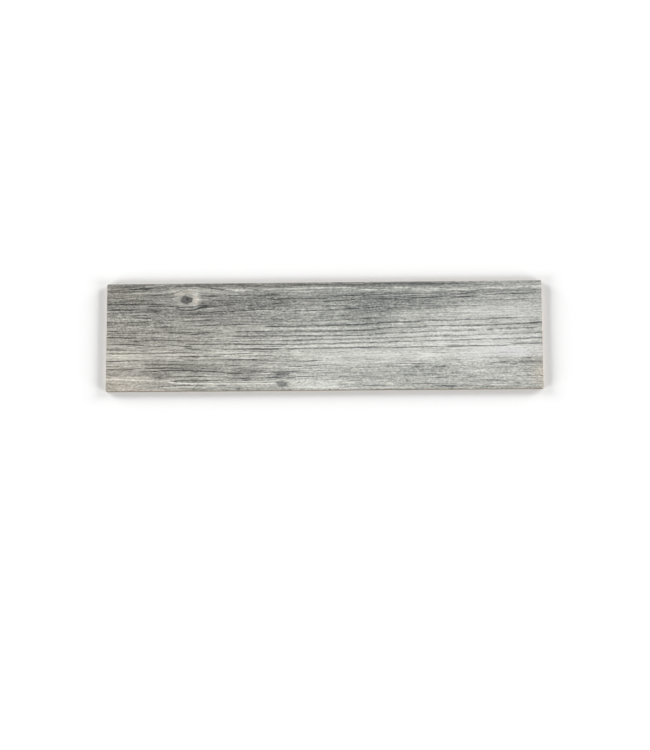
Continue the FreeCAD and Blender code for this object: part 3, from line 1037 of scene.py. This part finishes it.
def worn_and_shaded_rim(n, ink, along, across, speckle):
    """The colour with the fired body showing through, raggedly, along the rim, darkened there as painted edge
    shade, more along the long sides than at the ends.
    """
    from_end = n.math("SUBTRACT", PLANK_HIGH.x / MM, n.math("ABSOLUTE", along))
    from_side = n.math("SUBTRACT", PLANK_HIGH.y / MM, n.math("ABSOLUTE", across))
    ragged = n.spread(speckle, 0, 1, -RIM_RAGGED, RIM_RAGGED)
    from_rim = n.math("ADD", n.math("MINIMUM", from_end, from_side), ragged)
    at_end = n.math("LESS_THAN", from_end, from_side)
    body = n.mix(at_end, paint(*SIDE_RIM_WEAR_AND_SHADE), paint(*END_RIM_WEAR_AND_SHADE))
    return n.mix(n.spread(from_rim, 0, RIM_WIDTH, RIM_WEAR_AND_SHADE, 0), ink, body)


def wood_print_glaze():
    """The printed matte glaze: the drawn wood with fibres, pores and mottling finer than the drawing."""
    material, n = new_material("wood_print_glaze")
    parts = n.add("ShaderNodeSeparateXYZ", {0: n.add("ShaderNodeTexCoord").outputs["Object"]})
    along = n.math("DIVIDE", parts.outputs["X"], MM)
    across = n.math("DIVIDE", parts.outputs["Y"], MM)
    flow = n.place(along, n.attribute("grain_across"))
    spot = n.place(along, across)
    streaks, fibres, fine, pores = (n.noise(flow, *noise) for noise in (STREAKS, FIBRES, FINE_GRAIN, PORES))
    speckle, blotch = (n.noise(spot, *noise) for noise in (SPECKLE, BLOTCH))

    strokes = n.math("SUBTRACT", n.attribute("print_tone"), BASE_LEVEL / WHITE)
    by_fine = n.spread(fine, *NOISE_BULK, -STROKE_PLAY, STROKE_PLAY)
    by_pores = n.spread(pores, *NOISE_BULK, 1 + STROKE_PLAY, 1 - STROKE_PLAY)
    strokes = n.math("MULTIPLY", strokes, n.math("ADD", by_fine, by_pores))
    tone = n.math("ADD", strokes, BASE_LEVEL / WHITE)
    tone = n.math("SUBTRACT", tone, n.spread(pores, *PORE_EDGE, 0, PORE_INK))
    for grain, play in ((streaks, STREAK_PLAY), (fibres, FIBRE_PLAY), (fine, FINE_PLAY)):
        tone = n.math("ADD", tone, n.spread(grain, 0, 1, -play / 2, play / 2))
    mottling = n.spread(speckle, 0, 1, -MOTTLE_PLAY, MOTTLE_PLAY)
    tone = n.math("ADD", tone, n.math("MULTIPLY", mottling, n.attribute("print_mottle")))
    tone = knot_hearts(n, tone, along, across, blotch, speckle)

    # the print is worn to the body along the rim and darkened there with painted edge shade
    ink = worn_and_shaded_rim(n, print_colour(n, tone), along, across, speckle)
    relief = n.math("SUBTRACT", n.math("ADD", n.math("MULTIPLY", fine, FINE_RELIEF), fibres), pores)
    strength, depth = GLAZE_BUMP
    bump = n.add("ShaderNodeBump", {"Strength": strength, "Distance": depth, "Height": relief})
    shader = n.add("ShaderNodeBsdfPrincipled", {
        "Base Color": ink,
        "Roughness": n.spread(tone, *GLAZE_ROUGHNESS),
        "Specular IOR Level": GLAZE_SPECULAR,
        "Normal": bump.outputs["Normal"],
    })
    n.add("ShaderNodeOutputMaterial", {"Surface": shader.outputs[0]})
    return material


def porcelain_biscuit():
    """The fired body on the sides and back: warm grey, finely speckled, kiln wash on its lowest crests."""
    material, n = new_material("porcelain_biscuit")
    place = n.add("ShaderNodeTexCoord").outputs["Object"]
    cloud = n.noise(place, *BODY_CLOUD)
    grit = n.noise(place, *BODY_GRIT)
    ink = n.ramp(cloud, list(zip(NOISE_BULK, (paint(*DARK_BODY), paint(*PALE_BODY)))))
    ink = n.mix(n.spread(grit, *GRIT_EDGE), ink, paint(*GRIT))
    height = n.add("ShaderNodeSeparateXYZ", {0: place}).outputs["Z"]
    on_crest = n.spread(height, *WASH_HEIGHTS, 1, 0)
    wash = n.math("MULTIPLY", on_crest, n.spread(cloud, *WASH_CLOUD))
    ink = n.mix(wash, ink, paint(*KILN_WASH))
    strength, depth = BODY_BUMP
    bump = n.add("ShaderNodeBump", {"Strength": strength, "Distance": depth, "Height": grit})
    shader = n.add("ShaderNodeBsdfPrincipled", {
        "Base Color": ink,
        "Roughness": n.spread(cloud, 0, 1, *BODY_ROUGHNESS),
        "Normal": bump.outputs["Normal"],
    })
    n.add("ShaderNodeOutputMaterial", {"Surface": shader.outputs[0]})
    return material


def finish_surfaces(plank):
    """Glaze on the face and its eased edges, bare body everywhere else."""
    for material in (wood_print_glaze(), porcelain_biscuit()):
        plank.data.materials.append(material)
    normals = np.empty(len(plank.data.polygons) * 3, dtype=np.float32)
    plank.data.polygons.foreach_get("normal", normals)
    bare = normals.reshape(-1, 3)[:, 2] < GLAZED_SLOPE
    plank.data.polygons.foreach_set("material_index", bare.astype(np.int32))


def lay_floor():
    """A plain white floor that shows the plank's shadow and turns into the white air farther off."""
    bpy.ops.object.select_all(action="DESELECT")
    bpy.ops.mesh.primitive_plane_add(size=FLOOR_SIDE, location=(0, 0, -TOUCH))
    floor = bpy.context.object
    floor.name = "studio_floor"
    bpy.ops.object.transform_apply(location=True, rotation=False, scale=True)
    material, n = new_material("studio_white")
    rays = n.add("ShaderNodeLightPath")
    seen = n.math("MAXIMUM", rays.outputs["Is Camera Ray"], rays.outputs["Is Glossy Ray"])
    white = n.mix(seen, paint(*FLOOR_AS_BOUNCE), paint(*FLOOR_SEEN))
    paper = n.add("ShaderNodeBsdfDiffuse", {"Color": white})
    place = n.add("ShaderNodeTexCoord").outputs["Object"]
    away = n.add("ShaderNodeVectorMath", {0: place}, operation="LENGTH").outputs["Value"]
    glow = n.math("MULTIPLY", seen, n.spread(away, *FLOOR_FADE, FLOOR_LIFT, 1, True))
    lift = n.add("ShaderNodeEmission", {"Strength": glow})
    surface = n.add("ShaderNodeAddShader", {0: paper.outputs[0], 1: lift.outputs[0]})
    n.add("ShaderNodeOutputMaterial", {"Surface": surface.outputs[0]})
    floor.data.materials.append(material)


def light_studio():
    """White air that gives little light, and a large far softbox at each corner."""
    world = bpy.data.worlds.new("studio_air")
    bpy.context.scene.world = world
    world.use_nodes = True
    n = Nodes(world.node_tree)
    world.node_tree.nodes.clear()
    rays = n.add("ShaderNodeLightPath")
    strength = n.spread(rays.outputs["Is Camera Ray"], 0, 1, WORLD_FILL, 1)
    air = n.add("ShaderNodeBackground", {"Color": (1, 1, 1, 1), "Strength": strength})
    n.add("ShaderNodeOutputWorld", {"Surface": air.outputs[0]})
    for name, place, width, height, watts in SOFTBOXES:
        lamp = bpy.data.lights.new(name, "AREA")
        lamp.shape = "RECTANGLE"
        lamp.size = width
        lamp.size_y = height
        lamp.energy = watts
        softbox = bpy.data.objects.new(name, lamp)
        bpy.context.collection.objects.link(softbox)
        softbox.location = place
        softbox.rotation_euler = (-softbox.location).to_track_quat("-Z", "Y").to_euler()
        softbox.visible_camera = False


def place_camera():
    """A camera that looks down on the face, a little from the front."""
    lens = bpy.data.cameras.new("overhead_camera")
    lens.sensor_fit = "VERTICAL"
    lens.sensor_height = SENSOR_HEIGHT
    lens.lens = LENS
    camera = bpy.data.objects.new("overhead_camera", lens)
    bpy.context.collection.objects.link(camera)
    camera.location = CAMERA_PLACE
    camera.rotation_euler = CAMERA_TURN
    bpy.context.scene.camera = camera
    bpy.context.scene.view_settings.view_transform = "Standard"


plank = press_plank()
print_and_emboss(plank)
finish_surfaces(plank)
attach(plank, "root")
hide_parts("plank_tile")
lay_floor()
light_studio()
place_camera()
